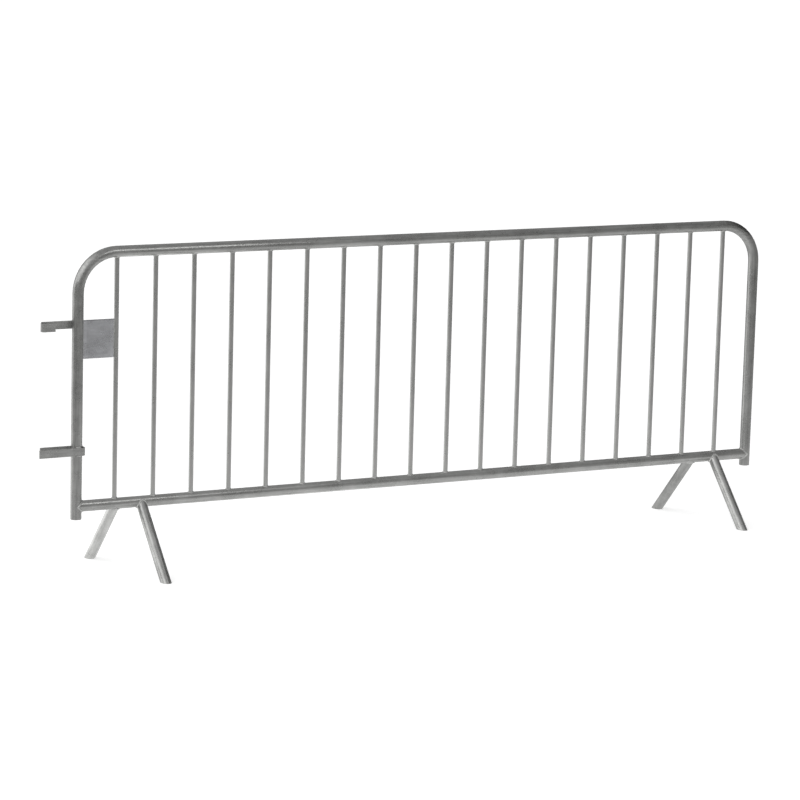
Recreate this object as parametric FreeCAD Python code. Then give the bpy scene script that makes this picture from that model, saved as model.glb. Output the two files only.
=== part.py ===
import FreeCAD, Part
import math
import os

# Crowd control barrier: a welded arch of round tube with upright bars, four splayed legs and two
# coupling hooks on its left post.
#
# Frame of the model, in millimetres: +X runs along the barrier, away from the hooks; +Y points to
# the rear; +Z is up. The origin is on the floor, under the middle of the overall length, in the
# plane of the bars.

# Driving dimensions
FRAME_LENGTH = 2500.0         # outside of one post to outside of the other
OVERALL_HEIGHT = 1020.0       # floor to the top of the top rail
TUBE_DIAMETER = 35.0          # arch and lower rail
TUBE_WALL = 2.0
BEND_RADIUS = 125.0           # of the arch's centre line at both upper corners
LOWER_RAIL_HEIGHT = 215.0     # floor to the lower rail's centre line
POST_TAIL = 40.0              # post below the lower rail's centre line

BAR_COUNT = 18
BAR_DIAMETER = 15.0
BAR_WALL = 1.5
END_GAP = 127.5               # post centre line to the nearest bar's centre line

LEG_DIAMETER = 33.7
LEG_WALL = 2.0
LEG_REACH = 200.0             # leg centre line from the plane of the bars, at the floor
LEG_INSET_SHORT = 132.0       # post to leg along the rail: rear left and front right
LEG_INSET_LONG = 217.0        # post to leg along the rail: front left and rear right

PLATE_HEIGHT = 120.0
PLATE_THICKNESS = 3.0
PLATE_CENTRE_HEIGHT = 735.0

STRAP_HEIGHT = 25.0           # flat steel of both hooks
STRAP_THICKNESS = 5.0
STRAP_EDGE_RADIUS = 1.0
HOOK_GAP = 38.0               # between a hook's arms, where the next barrier's post goes
HOOK_REACH = 131.5            # left post centre line to the hooks' outer ends, at the front
REAR_ARM_SHORTER = 19.0       # how much less far out the hooks reach at the rear
UPPER_HOOK_HEIGHT = 780.0     # floor to the middle of the strap
UPPER_HOOK_RETURN = 48.5      # front return of the upper hook, outer corner to its end
UPPER_HOOK_BEND = 7.5         # bend radii of the strap's centre line
LOWER_HOOK_HEIGHT = 390.0
LOWER_HOOK_BEND = 12.0

POST_END_ROUNDING = 0.8

# Worked out from the driving dimensions
TUBE_RADIUS = TUBE_DIAMETER / 2
POST_SPACING = FRAME_LENGTH - TUBE_DIAMETER
LEFT_POST_X = (HOOK_REACH - TUBE_RADIUS - POST_SPACING) / 2
RIGHT_POST_X = LEFT_POST_X + POST_SPACING
TOP_RAIL_Z = OVERALL_HEIGHT - TUBE_RADIUS
POST_END_Z = LOWER_RAIL_HEIGHT - POST_TAIL
BAR_PITCH = (POST_SPACING - 2 * END_GAP) / (BAR_COUNT - 1)
REAR_REACH = HOOK_REACH - REAR_ARM_SHORTER
REAR_ARM_Y = TUBE_RADIUS + STRAP_THICKNESS / 2
FRONT_ARM_Y = REAR_ARM_Y - HOOK_GAP - STRAP_THICKNESS

UP = FreeCAD.Vector(0, 0, 1)
ALONG = FreeCAD.Vector(1, 0, 0)


def point(x, y, z):
    return FreeCAD.Vector(x, y, z)


def rounded_path(corners, radius):
    """A wire of straight runs through the corners, each inner corner rounded by a tangent arc."""
    edges = []
    start = corners[0]
    for before, corner, after in zip(corners, corners[1:], corners[2:]):
        incoming = (corner - before).normalize()
        outgoing = (after - corner).normalize()
        half_turn = incoming.getAngle(outgoing) / 2
        setback = radius * math.tan(half_turn)
        inward = (outgoing - incoming).normalize()
        middle = corner + inward * (radius / math.cos(half_turn) - radius)
        arc_start = corner - incoming * setback
        arc_end = corner + outgoing * setback
        edges.append(Part.LineSegment(start, arc_start).toShape())
        edges.append(Part.Arc(arc_start, middle, arc_end).toShape())
        start = arc_end
    edges.append(Part.LineSegment(start, corners[-1]).toShape())
    return Part.Wire(edges)


def sweep_round(path, radius):
    """A solid round bar whose centre line is the path."""
    first = path.Edges[0]
    direction = first.tangentAt(first.FirstParameter)
    section = Part.Wire([Part.makeCircle(radius, path.Vertexes[0].Point, direction)])
    return path.makePipeShell([section], True, False)


def tube(start, end, diameter, wall):
    """A straight hollow round tube between two points."""
    axis = end - start
    outside = Part.makeCylinder(diameter / 2, axis.Length, start, axis)
    inside = Part.makeCylinder(diameter / 2 - wall, axis.Length, start, axis)
    return outside.cut(inside)


def arch_path():
    corners = [
        point(LEFT_POST_X, 0, POST_END_Z),
        point(LEFT_POST_X, 0, TOP_RAIL_Z),
        point(RIGHT_POST_X, 0, TOP_RAIL_Z),
        point(RIGHT_POST_X, 0, POST_END_Z),
    ]
    return rounded_path(corners, BEND_RADIUS)


def arch_envelope():
    """The arch as a solid bar, which shapes the ends of what is welded to it."""
    return sweep_round(arch_path(), TUBE_RADIUS)


def lower_rail_envelope():
    start = point(LEFT_POST_X, 0, LOWER_RAIL_HEIGHT)
    return Part.makeCylinder(TUBE_RADIUS, POST_SPACING, start, ALONG)


def make_frame_tube():
    """Both posts and the top rail, bent from one tube, with its two lower ends rounded off."""
    outside = arch_envelope()
    end_rims = []
    for edge in outside.Edges:
        centre = edge.CenterOfMass
        if abs(centre.z - POST_END_Z) < 0.01:
            end_rims.append(edge)
    outside = outside.makeFillet(POST_END_ROUNDING, end_rims)
    inside = sweep_round(arch_path(), TUBE_RADIUS - TUBE_WALL)
    return outside.cut(inside)


def make_lower_rail(arch):
    start = point(LEFT_POST_X, 0, LOWER_RAIL_HEIGHT)
    end = point(RIGHT_POST_X, 0, LOWER_RAIL_HEIGHT)
    return tube(start, end, TUBE_DIAMETER, TUBE_WALL).cut(arch)


def bar_x(number):
    return LEFT_POST_X + END_GAP + (number - 1) * BAR_PITCH


def make_infill_bar(number, arch, rail):
    """An upright bar between the rails, both ends shaped to the rails' surfaces."""
    start = point(bar_x(number), 0, LOWER_RAIL_HEIGHT)
    end = point(bar_x(number), 0, TOP_RAIL_Z)
    return tube(start, end, BAR_DIAMETER, BAR_WALL).cut(rail).cut(arch)


def make_marking_plate(arch):
    """A flat plate between the left post and the first bar, welded to both along its sides."""
    width = END_GAP
    bottom = PLATE_CENTRE_HEIGHT - PLATE_HEIGHT / 2
    corner = point(LEFT_POST_X, -PLATE_THICKNESS / 2, bottom)
    plate = Part.makeBox(width, PLATE_THICKNESS, PLATE_HEIGHT, corner)
    first_bar = Part.makeCylinder(BAR_DIAMETER / 2, PLATE_HEIGHT, point(bar_x(1), 0, bottom), UP)
    return plate.cut(arch).cut(first_bar)


def make_leg(x, side, rail):
    """A straight leg from the lower rail to the floor, leaning out to the front (-1) or rear (1)."""
    top = point(x, 0, LOWER_RAIL_HEIGHT)
    foot = point(x, side * LEG_REACH, 0)
    lean = (foot - top).normalize()
    end = foot + lean * LEG_DIAMETER
    leg = tube(top, end, LEG_DIAMETER, LEG_WALL).cut(rail)
    size = 4 * LEG_REACH
    below_floor = Part.makeBox(size, size, size, point(x - size / 2, -size / 2, -size))
    return leg.cut(below_floor)


def strap_section(centre, direction):
    """Cross-section of the flat steel at a point of its path, with slightly rounded edges."""
    across = direction.cross(UP).normalize() * (STRAP_THICKNESS / 2)
    upward = UP * (STRAP_HEIGHT / 2)
    corners = [
        centre + upward,
        centre + upward + across,
        centre - upward + across,
        centre - upward - across,
        centre + upward - across,
        centre + upward,
    ]
    return rounded_path(corners, STRAP_EDGE_RADIUS)


def make_strap(plan_points, height, bend_radius):
    """Flat steel on edge, bent along a plan view path about the left post's centre line."""
    corners = [point(LEFT_POST_X + x, y, height) for x, y in plan_points]
    path = rounded_path(corners, bend_radius)
    direction = (corners[1] - corners[0]).normalize()
    return path.makePipeShell([strap_section(corners[0], direction)], True, False)


def make_upper_hook():
    """Strap along the post's back, brought forward at a slant, with a short return in front."""
    half = STRAP_THICKNESS / 2
    plan = [
        (TUBE_RADIUS, REAR_ARM_Y),
        (half - REAR_REACH, REAR_ARM_Y),
        (half - HOOK_REACH, FRONT_ARM_Y),
        (UPPER_HOOK_RETURN - HOOK_REACH, FRONT_ARM_Y),
    ]
    return make_strap(plan, UPPER_HOOK_HEIGHT, UPPER_HOOK_BEND)


def make_lower_hook():
    """Strap wrapped round the post's inner side, both arms reaching out to form an open fork."""
    wrap = TUBE_RADIUS + STRAP_THICKNESS / 2
    plan = [
        (-REAR_REACH, REAR_ARM_Y),
        (wrap, REAR_ARM_Y),
        (wrap, FRONT_ARM_Y),
        (-HOOK_REACH, FRONT_ARM_Y),
    ]
    return make_strap(plan, LOWER_HOOK_HEIGHT, LOWER_HOOK_BEND)


def make_barrier():
    arch = arch_envelope()
    rail = lower_rail_envelope()
    parts = {
        "frame_tube": make_frame_tube(),
        "lower_rail": make_lower_rail(arch),
        "marking_plate": make_marking_plate(arch),
        "upper_hook": make_upper_hook(),
        "lower_hook": make_lower_hook(),
        "front_left_leg": make_leg(LEFT_POST_X + LEG_INSET_LONG, -1, rail),
        "rear_left_leg": make_leg(LEFT_POST_X + LEG_INSET_SHORT, 1, rail),
        "front_right_leg": make_leg(RIGHT_POST_X - LEG_INSET_SHORT, -1, rail),
        "rear_right_leg": make_leg(RIGHT_POST_X - LEG_INSET_LONG, 1, rail),
    }
    for number in range(1, BAR_COUNT + 1):
        parts["infill_bar_%02d" % number] = make_infill_bar(number, arch, rail)
    return parts


def as_single_solid(name, shape):
    if len(shape.Solids) != 1 or not shape.isValid():
        raise RuntimeError("%s is not one valid solid" % name)
    return shape.Solids[0]


os.makedirs("parts", exist_ok=True)
for node, shape in make_barrier().items():
    solid = as_single_solid(node, shape)
    solid.exportStep(os.path.join("parts", node + ".step"))
    print("%-16s %9.0f mm3" % (node, solid.Volume))
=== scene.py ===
import math

import bmesh
import bpy
from mathutils import Matrix, Vector, noise


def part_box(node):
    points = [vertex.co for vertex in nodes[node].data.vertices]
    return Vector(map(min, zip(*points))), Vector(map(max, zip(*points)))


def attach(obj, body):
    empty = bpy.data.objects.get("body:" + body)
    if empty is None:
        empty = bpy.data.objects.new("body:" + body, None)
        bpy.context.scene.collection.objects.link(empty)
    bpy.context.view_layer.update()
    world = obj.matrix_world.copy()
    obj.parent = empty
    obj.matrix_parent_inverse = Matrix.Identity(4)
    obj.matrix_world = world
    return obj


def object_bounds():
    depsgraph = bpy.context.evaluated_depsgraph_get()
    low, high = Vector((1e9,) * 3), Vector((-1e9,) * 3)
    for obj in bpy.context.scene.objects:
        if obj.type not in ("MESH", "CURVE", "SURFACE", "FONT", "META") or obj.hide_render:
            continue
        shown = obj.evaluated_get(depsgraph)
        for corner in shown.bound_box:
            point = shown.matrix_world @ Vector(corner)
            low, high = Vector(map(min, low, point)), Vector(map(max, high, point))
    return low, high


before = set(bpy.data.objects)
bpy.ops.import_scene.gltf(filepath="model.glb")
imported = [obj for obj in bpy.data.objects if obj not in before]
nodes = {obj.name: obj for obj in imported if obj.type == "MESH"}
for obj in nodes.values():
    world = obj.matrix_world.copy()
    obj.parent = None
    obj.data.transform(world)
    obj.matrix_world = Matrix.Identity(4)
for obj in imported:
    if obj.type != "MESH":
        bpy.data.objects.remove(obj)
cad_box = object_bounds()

# Crowd control barrier in hot-dip galvanised steel. Metres, +X along the barrier, +Z up.

# Camera, from the front left
CAMERA_AIM_ALONG = 1.1230     # from the left post's centre line
CAMERA_AIM_HEIGHT = 0.4806
CAMERA_DISTANCE = 10.965
CAMERA_AZIMUTH = math.radians(-28.249)
CAMERA_ELEVATION = math.radians(10.135)
CAMERA_ROLL = math.radians(1.558)
CAMERA_LENS = 153.18
CAMERA_SENSOR = 36.0

WHITE = (1.0, 1.0, 1.0, 1.0)

# Stage: floor, backdrop, the dim screen in front and the grey card that lies on the floor
FLOOR_RADIUS = 70.0
FLOOR_SIDES = 128
FLOOR_DROP = 0.0005           # under the lowest CAD point, so that nothing fights with it
FLOOR_GLOW = 0.56
FLOOR_DARK = (0.80, 0.80, 0.80, 1.0)
FLOOR_LIGHT = (0.83, 0.83, 0.83, 1.0)
FLOOR_CLOUD_SCALE = 0.6
BACKDROP_RADIUS = 68.0
BACKDROP_HEIGHT = 60.0
BACKDROP_OVERLAP = 1.0
BACKDROP_STEPS = 96
SCREEN_RADIUS = 3.6
SCREEN_HEIGHT = 1.5
SCREEN_FROM = math.radians(-100.0)
SCREEN_TO = math.radians(115.0)
SCREEN_STEPS = 24
SCREEN_TINT = (1.0, 1.0, 0.98, 1.0)
SCREEN_GLOW = 0.32
CARD_RADIUS = 14.0
CARD_SIDES = 96
CARD_DROP = 0.0003            # under the lowest CAD point too, above the floor
CARD_NEAR = 0.55              # in metres from the middle, across the barrier
CARD_FAR = 2.2
CARD_STRETCH = (0.45, 1.0, 1.0)   # the near part reaches further along the barrier
CARD_NEAR_GLOW = 0.82
CARD_FAR_GLOW = 0.42
CARD_BRIGHT_SIDE = math.radians(-128.0)
CARD_SIDE_START = 0.86        # cosine of the angle off the bright side
CARD_SIDE_FULL = 0.98
CARD_SIDE_GLOW = 0.70         # added there

# World light, by a part of the direction's unit vector: upwards, to the left or to the right
WORLD_TOP = 0.8
WORLD_LOW_GLOW = 0.25
WORLD_HIGH_GLOW = 0.50
WORLD_LEFT_START = 0.15
WORLD_LEFT_FULL = 0.80
WORLD_LEFT_GLOW = 1.2
WORLD_RIGHT_START = 0.35
WORLD_RIGHT_FULL = 0.75
WORLD_RIGHT_SHARE = 0.12      # of the glow that is left on the right

# Weld beads: from the middle of the bead to its skin
BAR_BEAD = 0.0022
RAIL_BEAD = 0.0030
LEG_BEAD = 0.0030
PLATE_BEAD = 0.0015
STRAP_BEAD = 0.0028
BEAD_RIPPLE = 0.0026          # from one ripple to the next
BEAD_STEPS = 4                # points per ripple
BEAD_SIDES = 10
BEAD_LUMP_SCALE = 160.0
BEAD_LUMP_SHARE = 0.20        # of the bead's radius
BEAD_RIPPLE_SHARE = 0.06
BEAD_TAPER = 1.6              # from an open end to the full size, in radii
BEAD_END_SHARE = 0.06         # of the full section, left at an open end

# Weld runs: half their lengths, and how far they stop short of an edge
PLATE_RUN_INSET = 0.002
PLATE_RUN_BACK = 0.0002       # from the edge at the first bar
UPPER_HOOK_RUN_INSET = 0.001
UPPER_HOOK_RUN_OFF = 0.0070   # from the line where the strap touches the post
LOWER_HOOK_FRONT_RUN = 0.0085
LOWER_HOOK_SIDE_RUN = 0.0080
LOWER_HOOK_BACK_RUN = 0.0090

# Zinc: cells to the metre in each of its textures
CLOUD_SCALE = 11.0
BROAD_LUMP_SCALE = 45.0
CRYSTAL_SCALE = 120.0
STREAK_SCALE = 190.0
FINE_LUMP_SCALE = 260.0
SPECK_SCALE = 700.0
NOISE_LOW = 0.3               # most of a noise texture's values lie between these two
NOISE_HIGH = 0.7
FINE_LUMP_SHARE = 0.6         # of a broad lump's height
LUMP_HEIGHT = 0.0006
SMOOTH_ZINC = 0.25            # roughness
ROUGH_ZINC = 0.36

# Streaks: their texture's scale on each axis, small along the streaks
ALONG_X = (0.03, 1.0, 1.0)
ALONG_Z = (1.0, 1.0, 0.03)
ALONG_LEG = (1.0, 0.05, 0.05)
ALONG_STRAP = (0.1, 1.0, 1.0)
ALONG_PLATE = (0.15, 1.0, 0.6)
STREAK_TURN = 0.10            # below the top rail: the streaks begin to turn along it
STREAK_TURN_BAND = 0.06

# The plate's pale border at its sides and foot, and the dark line at its top
PLATE_BORDER = 0.010
BORDER_FADE = 0.003
BORDER_PALER = 0.12
TOP_LINE_START = 0.0030       # below the top edge
TOP_LINE_FULL = 0.0022
TOP_LINE_DARKER = 0.35


# ---------------------------------------------------------------- sizes read from the frame

def middle(node):
    low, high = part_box(node)
    return (low + high) / 2


def half_size(node):
    low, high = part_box(node)
    return (high - low) / 2


BARS = sorted(name for name in nodes if name.startswith("infill_bar"))
TUBE_RADIUS = half_size("lower_rail").z
BAR_RADIUS = half_size(BARS[0]).x
LOWER_RAIL_Z = middle("lower_rail").z
TOP_RAIL_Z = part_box("frame_tube")[1].z - TUBE_RADIUS
LEFT_POST_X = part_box("frame_tube")[0].x + TUBE_RADIUS
RIGHT_POST_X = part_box("frame_tube")[1].x - TUBE_RADIUS


# ---------------------------------------------------------------- camera

def direction_to(azimuth, elevation):
    """From the object towards a place; azimuth 0 is the front, growing to the right."""
    flat = math.cos(elevation)
    return Vector((math.sin(azimuth) * flat, -math.cos(azimuth) * flat, math.sin(elevation)))


def make_camera():
    data = bpy.data.cameras.new("camera")
    data.lens = CAMERA_LENS
    data.sensor_width = CAMERA_SENSOR
    data.clip_end = 500.0
    camera = bpy.data.objects.new("camera", data)
    bpy.context.scene.collection.objects.link(camera)
    aim = Vector((LEFT_POST_X + CAMERA_AIM_ALONG, 0.0, CAMERA_AIM_HEIGHT))
    back = direction_to(CAMERA_AZIMUTH, CAMERA_ELEVATION)
    upright = (-back).to_track_quat("-Z", "Y").to_matrix()
    turned = upright @ Matrix.Rotation(CAMERA_ROLL, 3, "Z")
    camera.rotation_euler = turned.to_euler()
    camera.location = aim + back * CAMERA_DISTANCE
    bpy.context.scene.camera = camera


# ---------------------------------------------------------------- node helpers

class Nodes:
    """Short calls for building a node tree."""

    def __init__(self, tree):
        self.tree = tree
        tree.nodes.clear()

    def add(self, kind, **settings):
        node = self.tree.nodes.new(kind)
        for name, value in settings.items():
            setattr(node, name, value)
        return node

    def link(self, output, socket):
        self.tree.links.new(output, socket)

    def math(self, operation, first, second=0.0):
        node = self.add("ShaderNodeMath", operation=operation)
        for socket, value in zip(node.inputs, (first, second)):
            if isinstance(value, (int, float)):
                socket.default_value = value
            else:
                self.link(value, socket)
        return node.outputs[0]

    def remap(self, value, low, high, to_low, to_high, smooth=False):
        node = self.add("ShaderNodeMapRange")
        node.interpolation_type = "SMOOTHSTEP" if smooth else "LINEAR"
        for socket, number in zip(node.inputs[1:5], (low, high, to_low, to_high)):
            socket.default_value = number
        self.link(value, node.inputs[0])
        return node.outputs[0]

    def swing(self, noise, amount, centre=0.0):
        """A noise as a change of up to this amount either way."""
        return self.remap(noise, NOISE_LOW, NOISE_HIGH, centre - amount, centre + amount)

    def noise(self, vector, scale, detail=3.0, roughness=0.5):
        node = self.add("ShaderNodeTexNoise")
        node.inputs["Scale"].default_value = scale
        node.inputs["Detail"].default_value = detail
        node.inputs["Roughness"].default_value = roughness
        self.link(vector, node.inputs["Vector"])
        return node.outputs["Fac"]

    def stretch(self, vector, scale, offset=(0.0, 0.0, 0.0)):
        node = self.add("ShaderNodeMapping")
        node.inputs["Scale"].default_value = scale
        node.inputs["Location"].default_value = offset
        self.link(vector, node.inputs["Vector"])
        return node.outputs[0]

    def mix(self, factor, first, second, blend="MIX"):
        node = self.add("ShaderNodeMix", data_type="RGBA", blend_type=blend)
        for socket, value in zip((node.inputs[0], node.inputs[6], node.inputs[7]), (factor, first, second)):
            if isinstance(value, (int, float, tuple)):
                socket.default_value = value
            else:
                self.link(value, socket)
        return node.outputs[2]


# ---------------------------------------------------------------- stage and light

def link_mesh(name, bm):
    """A new object from a bmesh, which is freed."""
    mesh = bpy.data.meshes.new(name)
    bm.to_mesh(mesh)
    bm.free()
    item = bpy.data.objects.new(name, mesh)
    bpy.context.scene.collection.objects.link(item)
    return item


def make_disc(name, segments, radius):
    bm = bmesh.new()
    bmesh.ops.create_circle(bm, cap_ends=True, cap_tris=False, segments=segments, radius=radius)
    return link_mesh(name, bm)


def make_curved_wall(name, radius, angles, heights):
    """An upright wall round the origin, flat from each angle to the next, between two heights."""
    bm = bmesh.new()
    rows = []
    for height in heights:
        row = []
        for angle in angles:
            row.append(bm.verts.new(direction_to(angle, 0.0) * radius + Vector((0, 0, height))))
        rows.append(row)
    for step in range(len(angles) - 1):
        bm.faces.new((rows[0][step], rows[0][step + 1], rows[1][step + 1], rows[1][step]))
    return link_mesh(name, bm)


def spread(start, end, steps):
    return [start + (end - start) * step / steps for step in range(steps + 1)]


def glow_material(name, colour, strength=1.0):
    """An emission material; returns it with its tree and its shader."""
    material = bpy.data.materials.new(name)
    material.use_nodes = True
    tree = Nodes(material.node_tree)
    glow = tree.add("ShaderNodeEmission")
    glow.inputs["Color"].default_value = colour
    glow.inputs["Strength"].default_value = strength
    output = tree.add("ShaderNodeOutputMaterial")
    tree.link(glow.outputs[0], output.inputs[0])
    return material, tree, glow


def make_floor():
    floor = make_disc("floor", FLOOR_SIDES, FLOOR_RADIUS)
    floor.location.z = cad_box[0].z - FLOOR_DROP
    material = bpy.data.materials.new("pale_floor")
    material.use_nodes = True
    tree = Nodes(material.node_tree)
    place = tree.add("ShaderNodeTexCoord").outputs["Object"]
    cloud = tree.noise(place, FLOOR_CLOUD_SCALE, 2.0)
    shader = tree.add("ShaderNodeBsdfPrincipled")
    shader.inputs["Roughness"].default_value = 0.85
    shader.inputs["Specular IOR Level"].default_value = 0.2
    tree.link(tree.mix(cloud, FLOOR_DARK, FLOOR_LIGHT), shader.inputs["Base Color"])
    shader.inputs["Emission Color"].default_value = WHITE
    shader.inputs["Emission Strength"].default_value = FLOOR_GLOW
    output = tree.add("ShaderNodeOutputMaterial")
    tree.link(shader.outputs[0], output.inputs[0])
    floor.data.materials.append(material)


def make_backdrop():
    """A pale wall round the floor's edge, which only the camera sees."""
    angles = spread(0.0, 2 * math.pi, BACKDROP_STEPS)
    wall = make_curved_wall("backdrop", BACKDROP_RADIUS, angles, (-BACKDROP_OVERLAP, BACKDROP_HEIGHT))
    wall.visible_diffuse = False
    wall.visible_glossy = False
    wall.visible_shadow = False
    wall.data.materials.append(glow_material("backdrop", WHITE)[0])


def softbox(name, place, aim, size, power):
    data = bpy.data.lights.new(name, "AREA")
    data.shape = "RECTANGLE"
    data.size, data.size_y = size
    data.energy = power
    light = bpy.data.objects.new(name, data)
    light.location = place
    light.rotation_euler = (Vector(aim) - Vector(place)).to_track_quat("-Z", "Y").to_euler()
    light.visible_camera = False
    bpy.context.scene.collection.objects.link(light)


def only_in_reflections(item):
    item.visible_camera = False
    item.visible_shadow = False
    item.visible_diffuse = False


def make_screen():
    """A dim curved screen in front of the barrier, which only reflections see."""
    angles = spread(SCREEN_FROM, SCREEN_TO, SCREEN_STEPS)
    screen = make_curved_wall("dim_screen", SCREEN_RADIUS, angles, (0.0, SCREEN_HEIGHT))
    only_in_reflections(screen)
    screen.data.materials.append(glow_material("dim_screen", SCREEN_TINT, SCREEN_GLOW)[0])


def make_card():
    """A grey card over the floor, which only reflections see: lighter near the barrier and to its
    rear left."""
    card = make_disc("grey_card", CARD_SIDES, CARD_RADIUS)
    card.location.z = cad_box[0].z - CARD_DROP
    only_in_reflections(card)
    material, tree, glow = glow_material("grey_card", WHITE)
    place = tree.add("ShaderNodeTexCoord").outputs["Object"]
    distance = tree.add("ShaderNodeVectorMath", operation="LENGTH")
    tree.link(tree.stretch(place, CARD_STRETCH), distance.inputs[0])
    outward = tree.add("ShaderNodeVectorMath", operation="NORMALIZE")
    tree.link(place, outward.inputs[0])
    towards = tree.add("ShaderNodeVectorMath", operation="DOT_PRODUCT")
    tree.link(outward.outputs[0], towards.inputs[0])
    towards.inputs[1].default_value = direction_to(CARD_BRIGHT_SIDE, 0.0)
    near = tree.remap(distance.outputs["Value"], CARD_NEAR, CARD_FAR, CARD_NEAR_GLOW, CARD_FAR_GLOW,
                      smooth=True)
    side = tree.remap(towards.outputs["Value"], CARD_SIDE_START, CARD_SIDE_FULL, 0.0, CARD_SIDE_GLOW,
                      smooth=True)
    tree.link(tree.math("ADD", near, side), glow.inputs["Strength"])
    card.data.materials.append(material)


def make_world():
    """A soft studio: dim on the right, bright on the left, mid grey overhead."""
    world = bpy.data.worlds.new("studio")
    bpy.context.scene.world = world
    world.use_nodes = True
    tree = Nodes(world.node_tree)
    direction = tree.add("ShaderNodeTexCoord").outputs["Generated"]
    parts = tree.add("ShaderNodeSeparateXYZ")
    tree.link(direction, parts.inputs[0])
    upward = parts.outputs[2]
    rightward = parts.outputs[0]
    leftward = tree.math("MULTIPLY", rightward, -1.0)
    height = tree.remap(upward, 0.0, WORLD_TOP, WORLD_LOW_GLOW, WORLD_HIGH_GLOW, smooth=True)
    left = tree.remap(leftward, WORLD_LEFT_START, WORLD_LEFT_FULL, 0.0, WORLD_LEFT_GLOW, smooth=True)
    right = tree.remap(rightward, WORLD_RIGHT_START, WORLD_RIGHT_FULL, 1.0, WORLD_RIGHT_SHARE, smooth=True)
    strength = tree.math("ADD", tree.math("MULTIPLY", height, right), left)
    background = tree.add("ShaderNodeBackground")
    tree.link(strength, background.inputs["Strength"])
    background.inputs["Color"].default_value = WHITE
    output = tree.add("ShaderNodeOutputWorld")
    tree.link(background.outputs[0], output.inputs[0])


def make_lights():
    make_world()
    make_screen()
    make_card()
    softbox("softbox_front", place=(-0.30, -1.55, 1.80), aim=(-1.1, 0.0, 1.0), size=(1.0, 0.5), power=3.6)


# ---------------------------------------------------------------- weld beads

class Bead:
    """A run of weld: its centre line, its size, and an axis that its rings of points keep to."""

    def __init__(self, path, radius, axis, closed):
        self.path = path
        self.radius = radius
        self.axis = axis
        self.closed = closed

    def length(self):
        return sum((b - a).length for a, b in zip(self.path, self.path[1:]))

    def size_at(self, step, travelled, length):
        """The bead's radius: rippled along its run, lumpy, and tapered at open ends."""
        ripples = max(1, round(length / BEAD_RIPPLE))
        ripple = math.cos(2 * math.pi * ripples * travelled / length)
        lump = noise.noise(self.path[step] * BEAD_LUMP_SCALE)
        size = self.radius * (1.0 + BEAD_LUMP_SHARE * lump + BEAD_RIPPLE_SHARE * ripple)
        if not self.closed:
            to_end = min(travelled, length - travelled)
            rise = min(1.0, to_end / (BEAD_TAPER * self.radius))
            size *= math.sqrt(max(BEAD_END_SHARE, rise * (2.0 - rise)))
        return size

    def add_to(self, bm):
        count = len(self.path)
        length = self.length()
        travelled = 0.0
        rings = []
        for step, place in enumerate(self.path):
            last = count - 1
            before = self.path[step - 1] if (step or self.closed) else place
            after = self.path[(step + 1) % count] if (step < last or self.closed) else place
            if step:
                travelled += (place - self.path[step - 1]).length
            run = (after - before).normalized()
            side = run.cross(self.axis).normalized()
            top = side.cross(run)
            size = self.size_at(step, travelled, length)
            ring = []
            for corner in range(BEAD_SIDES):
                angle = 2 * math.pi * corner / BEAD_SIDES
                offset = side * math.cos(angle) + top * math.sin(angle)
                ring.append(bm.verts.new(place + offset * size))
            rings.append(ring)
        for step in range(count if self.closed else count - 1):
            one = rings[step]
            two = rings[(step + 1) % count]
            for corner in range(BEAD_SIDES):
                onward = (corner + 1) % BEAD_SIDES
                bm.faces.new((one[corner], one[onward], two[onward], two[corner]))
        if not self.closed:
            bm.faces.new(list(reversed(rings[0])))
            bm.faces.new(rings[-1])


def point_count(length):
    return max(8, round(length / BEAD_RIPPLE) * BEAD_STEPS)


def ring_angles(radius):
    count = point_count(2 * math.pi * radius)
    return [2 * math.pi * step / count for step in range(count)]


def depth(across):
    """How far a rail's skin stands from its centre line, this far off to one side."""
    return math.sqrt(max(0.0, TUBE_RADIUS ** 2 - across ** 2))


def bar_bead(bar, rail_z, side):
    """Round a bar's end, over the rail above it (side 1) or below it (side -1)."""
    middle_x = middle(bar).x
    path = []
    for angle in ring_angles(BAR_RADIUS):
        x = middle_x + BAR_RADIUS * math.cos(angle)
        across = BAR_RADIUS * math.sin(angle)
        path.append(Vector((x, across, rail_z - side * depth(across))))
    return Bead(path, BAR_BEAD, Vector((0, 0, 1)), True)


def rail_bead(post_x, side):
    """Round one end of the lower rail, over the post."""
    path = []
    for angle in ring_angles(TUBE_RADIUS):
        across = TUBE_RADIUS * math.sin(angle)
        z = LOWER_RAIL_Z + TUBE_RADIUS * math.cos(angle)
        path.append(Vector((post_x + side * depth(across), across, z)))
    return Bead(path, RAIL_BEAD, Vector((1, 0, 0)), True)


def leg_bead(leg):
    """Round a leg's top, over the lower rail."""
    low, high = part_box(leg)
    x = middle(leg).x
    radius = half_size(leg).x
    side = 1.0 if high.y > -low.y else -1.0
    edge = max(high.y, -low.y)
    # The foot's outer edge stands off the leg's axis by the radius, stretched by the slanted cut;
    # the stretch depends on the reach, so it is settled in rounds
    reach = edge
    for _ in range(30):
        reach = edge - radius * math.hypot(reach, LOWER_RAIL_Z) / LOWER_RAIL_Z
    top = Vector((x, 0.0, LOWER_RAIL_Z))
    lean = (Vector((x, side * reach, 0.0)) - top).normalized()
    along = Vector((1, 0, 0))
    square = lean.cross(along)
    path = []
    for angle in ring_angles(radius):
        across = radius * math.sin(angle)
        path.append(top + along * radius * math.cos(angle) + square * across + lean * depth(across))
    return Bead(path, LEG_BEAD, lean, True)


def straight_bead(start, end, radius, axis):
    count = point_count((end - start).length)
    path = [start.lerp(end, step / count) for step in range(count + 1)]
    return Bead(path, radius, Vector(axis), False)


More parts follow.
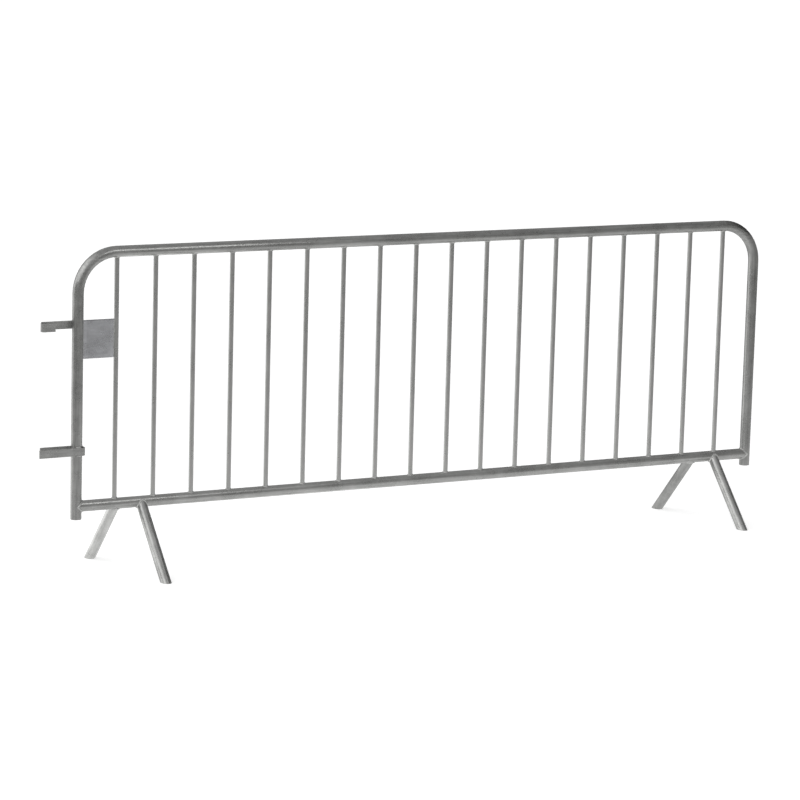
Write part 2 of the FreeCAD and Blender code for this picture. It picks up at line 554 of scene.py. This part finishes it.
def plate_beads():
    """Up both sides of the plate, front and back."""
    low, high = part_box("marking_plate")
    beads = []
    for x in (LEFT_POST_X + depth(low.y), high.x - PLATE_RUN_BACK):
        for y in (low.y, high.y):
            start = Vector((x, y, low.z + PLATE_RUN_INSET))
            end = Vector((x, y, high.z - PLATE_RUN_INSET))
            beads.append(straight_bead(start, end, PLATE_BEAD, (0, 1, 0)))
    return beads


def upper_hook_beads():
    """In the grooves at both sides of the line where the strap touches the post's back."""
    low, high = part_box("upper_hook")
    y = (TUBE_RADIUS + depth(UPPER_HOOK_RUN_OFF)) / 2
    beads = []
    for x in (LEFT_POST_X - UPPER_HOOK_RUN_OFF, LEFT_POST_X + UPPER_HOOK_RUN_OFF):
        start = Vector((x, y, low.z + UPPER_HOOK_RUN_INSET))
        end = Vector((x, y, high.z - UPPER_HOOK_RUN_INSET))
        beads.append(straight_bead(start, end, STRAP_BEAD, (0, 1, 0)))
    return beads


def lower_hook_beads():
    """Along the strap's top and bottom edges, where it passes the post's front, side and back."""
    low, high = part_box("lower_hook")
    thick = high.y - TUBE_RADIUS
    front = low.y + thick
    side_x = LEFT_POST_X + TUBE_RADIUS
    upright = (0, 0, 1)
    beads = []
    for z in (low.z, high.z):
        path = []
        for x in spread(-LOWER_HOOK_FRONT_RUN, LOWER_HOOK_FRONT_RUN, point_count(2 * LOWER_HOOK_FRONT_RUN)):
            path.append(Vector((LEFT_POST_X + x, (front - depth(x)) / 2, z)))
        beads.append(Bead(path, STRAP_BEAD, Vector(upright), False))
        start = Vector((side_x, -LOWER_HOOK_SIDE_RUN, z))
        end = Vector((side_x, LOWER_HOOK_SIDE_RUN, z))
        beads.append(straight_bead(start, end, STRAP_BEAD, upright))
        start = Vector((LEFT_POST_X - LOWER_HOOK_BACK_RUN, TUBE_RADIUS, z))
        end = Vector((LEFT_POST_X + LOWER_HOOK_BACK_RUN, TUBE_RADIUS, z))
        beads.append(straight_bead(start, end, STRAP_BEAD, upright))
    return beads


def make_welds(name, beads, material):
    bm = bmesh.new()
    for bead in beads:
        bead.add_to(bm)
    bmesh.ops.recalc_face_normals(bm, faces=bm.faces)
    piece = link_mesh(name, bm)
    piece.data.shade_smooth()
    piece.data.materials.append(material)
    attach(piece, "root")


def make_all_welds():
    weld = galvanised("galvanised_weld", (1.0, 1.0, 1.0), WELD_SHADE, 9, metallic=0.7)
    legs = [name for name in nodes if name.endswith("_leg")]
    groups = {
        "bar_welds_top": [bar_bead(bar, TOP_RAIL_Z, 1) for bar in BARS],
        "bar_welds_bottom": [bar_bead(bar, LOWER_RAIL_Z, -1) for bar in BARS],
        "lower_rail_welds": [rail_bead(LEFT_POST_X, 1), rail_bead(RIGHT_POST_X, -1)],
        "leg_welds": [leg_bead(leg) for leg in legs],
        "plate_welds": plate_beads(),
        "upper_hook_welds": upper_hook_beads(),
        "lower_hook_welds": lower_hook_beads(),
    }
    for name, beads in groups.items():
        make_welds(name, beads, weld)


# ---------------------------------------------------------------- materials

def shade(dark, light, tint=(1.0, 1.005, 0.985)):
    """Two greys that the zinc drifts between, leaning to a tint."""
    return [tuple(level * part for part in tint) + (1.0,) for level in (dark, light)]


ARCH_SHADE = shade(0.34, 0.39)
# The lower rail is the same tube as the arch, given paler greys: painted light from the bright floor below
# it.
RAIL_SHADE = shade(0.38, 0.44)
BAR_SHADE = shade(0.455, 0.485)
LEG_SHADE = shade(0.42, 0.48)
# The rear legs are one zinc in a darker and a paler copy: the rear right leg's greys are painted shade, the
# rear left leg's are painted reflection.
PAINTED_SHADE_LEG_GREYS = shade(0.32, 0.38)
PAINTED_REFLECTION_LEG_GREYS = shade(0.54, 0.60)
# The straps' and the plate's greys are partly their own zinc tone and partly painted reflection of the
# surroundings.
STRAP_SHADE = shade(0.32, 0.37)
PLATE_SHADE = shade(0.53, 0.59, (0.98, 0.99, 1.03))
WELD_SHADE = shade(0.50, 0.60)


def streak_noise(tree, place, along, shift):
    return tree.noise(tree.stretch(place, along, shift), STREAK_SCALE, 3.0, 0.6)


def turned_streaks(tree, parts, streak, level, turn_above):
    """Streaks that give way to level ones as they pass a height."""
    upper = tree.remap(parts.outputs[2], turn_above, turn_above + STREAK_TURN_BAND, 0.0, 1.0, smooth=True)
    return tree.mix(upper, streak, level)


def bordered(tree, parts, total, low, high):
    """A sheet's zinc: paler outside low and high at both sides and the foot, dark at the top edge."""
    along = parts.outputs[0]
    upward = parts.outputs[2]
    entered = tree.remap(along, low.x, low.x + BORDER_FADE, 0.0, 1.0)
    not_left = tree.remap(along, high.x - BORDER_FADE, high.x, 1.0, 0.0)
    between = tree.math("MULTIPLY", entered, not_left)
    above = tree.remap(upward, low.z, low.z + BORDER_FADE, 0.0, 1.0)
    for inside in (between, above):
        total = tree.math("ADD", total, tree.remap(inside, 0.0, 1.0, BORDER_PALER, 0.0))
    line = tree.remap(upward, high.z - TOP_LINE_START, high.z - TOP_LINE_FULL, 0.0, -TOP_LINE_DARKER)
    return tree.math("ADD", total, line)


def lumpy_skin(tree, moved, lumps):
    """A normal for the shader, from broad lumps with fine ones on them."""
    fine = tree.math("MULTIPLY", tree.noise(moved, FINE_LUMP_SCALE, 3.0), FINE_LUMP_SHARE)
    skin = tree.math("ADD", fine, tree.noise(moved, BROAD_LUMP_SCALE, 2.0))
    bump = tree.add("ShaderNodeBump")
    bump.inputs["Strength"].default_value = lumps
    bump.inputs["Distance"].default_value = LUMP_HEIGHT
    tree.link(skin, bump.inputs["Height"])
    return bump.outputs[0]


def galvanised(name, along, greys, seed, patches=0.05, streaks=0.14, specks=0.04, crystals=0.04,
               lumps=0.35, metallic=0.9, turn_above=None, border=None):
    """Hot-dip zinc: mottled grey, faint crystals, streaks along the piece and a slightly lumpy skin.

    The streaks run lengthwise by the scale in along, and along X above the height in turn_above.
    border is the box that a sheet's pale border and the dark line along its top go round."""
    material = bpy.data.materials.new(name)
    material.use_nodes = True
    tree = Nodes(material.node_tree)
    place = tree.add("ShaderNodeTexCoord").outputs["Object"]
    parts = tree.add("ShaderNodeSeparateXYZ")
    tree.link(place, parts.inputs[0])
    shift = (seed * 1.7, seed * 2.3, seed * 0.9)
    moved = tree.stretch(place, (1.0, 1.0, 1.0), shift)
    cloud = tree.noise(moved, CLOUD_SCALE, 5.0, 0.6)
    streak = streak_noise(tree, place, along, shift)
    if turn_above:
        streak = turned_streaks(tree, parts, streak, streak_noise(tree, place, ALONG_X, shift), turn_above)
    speck = tree.noise(moved, SPECK_SCALE, 2.0, 0.6)
    crystal = tree.add("ShaderNodeTexVoronoi")
    crystal.inputs["Scale"].default_value = CRYSTAL_SCALE
    tree.link(moved, crystal.inputs["Vector"])
    grain = tree.add("ShaderNodeSeparateColor")
    tree.link(crystal.outputs["Color"], grain.inputs[0])
    total = tree.swing(cloud, patches, 1.0)
    total = tree.math("ADD", total, tree.swing(streak, streaks))
    total = tree.math("ADD", total, tree.swing(speck, specks))
    total = tree.math("ADD", total, tree.remap(grain.outputs[0], 0.0, 1.0, -crystals, crystals))
    if border:
        total = bordered(tree, parts, total, *border)
    tint = tree.mix(tree.remap(cloud, 0.35, 0.65, 0.0, 1.0, smooth=True), greys[0], greys[1])
    colour = tree.add("ShaderNodeVectorMath", operation="SCALE")
    tree.link(tint, colour.inputs[0])
    tree.link(total, colour.inputs["Scale"])
    shader = tree.add("ShaderNodeBsdfPrincipled")
    tree.link(colour.outputs[0], shader.inputs["Base Color"])
    shader.inputs["Metallic"].default_value = metallic
    rough = tree.remap(cloud, NOISE_LOW, NOISE_HIGH, SMOOTH_ZINC, ROUGH_ZINC)
    rough = tree.math("ADD", rough, tree.remap(grain.outputs[1], 0.0, 1.0, -crystals, crystals))
    tree.link(rough, shader.inputs["Roughness"])
    tree.link(lumpy_skin(tree, moved, lumps), shader.inputs["Normal"])
    output = tree.add("ShaderNodeOutputMaterial")
    tree.link(shader.outputs[0], output.inputs[0])
    return material


def dress(node, material):
    mesh = nodes[node].data
    mesh.materials.clear()
    mesh.materials.append(material)


def dress_all():
    low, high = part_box("marking_plate")
    inner_box = (low + Vector((PLATE_BORDER, 0, PLATE_BORDER)), high - Vector((PLATE_BORDER, 0, 0)))
    corner = TOP_RAIL_Z - STREAK_TURN
    rail = galvanised("galvanised_rail", ALONG_X, RAIL_SHADE, 1)
    arch = galvanised("galvanised_tube", ALONG_Z, ARCH_SHADE, 2, streaks=0.20, turn_above=corner)
    bar = galvanised("galvanised_bar", ALONG_Z, BAR_SHADE, 3, patches=0.01, streaks=0.05, specks=0.01,
                     crystals=0.015, lumps=0.07)
    plate = galvanised("galvanised_plate", ALONG_PLATE, PLATE_SHADE, 4, streaks=0.07, border=inner_box)
    strap = galvanised("galvanised_strap", ALONG_STRAP, STRAP_SHADE, 5, patches=0.06, metallic=0.55)
    leg = galvanised("galvanised_leg", ALONG_LEG, LEG_SHADE, 6, patches=0.07)
    # Darker and paler copies of the leg zinc for the rear legs: painted shade and painted reflection.
    painted_shade_leg = galvanised("galvanised_painted_shade_leg", ALONG_LEG, PAINTED_SHADE_LEG_GREYS, 7, patches=0.07)
    painted_reflection_leg = galvanised("galvanised_painted_reflection_leg", ALONG_LEG, PAINTED_REFLECTION_LEG_GREYS, 8)
    chosen = {
        "frame_tube": arch,
        "lower_rail": rail,
        "marking_plate": plate,
        "upper_hook": strap,
        "lower_hook": strap,
        "rear_left_leg": painted_reflection_leg,
        "rear_right_leg": painted_shade_leg,
    }
    for node in nodes:
        if node in BARS:
            dress(node, bar)
        else:
            dress(node, chosen.get(node, leg))


make_camera()
make_floor()
make_backdrop()
make_lights()
dress_all()
make_all_welds()
bpy.context.scene.view_settings.view_transform = "Standard"
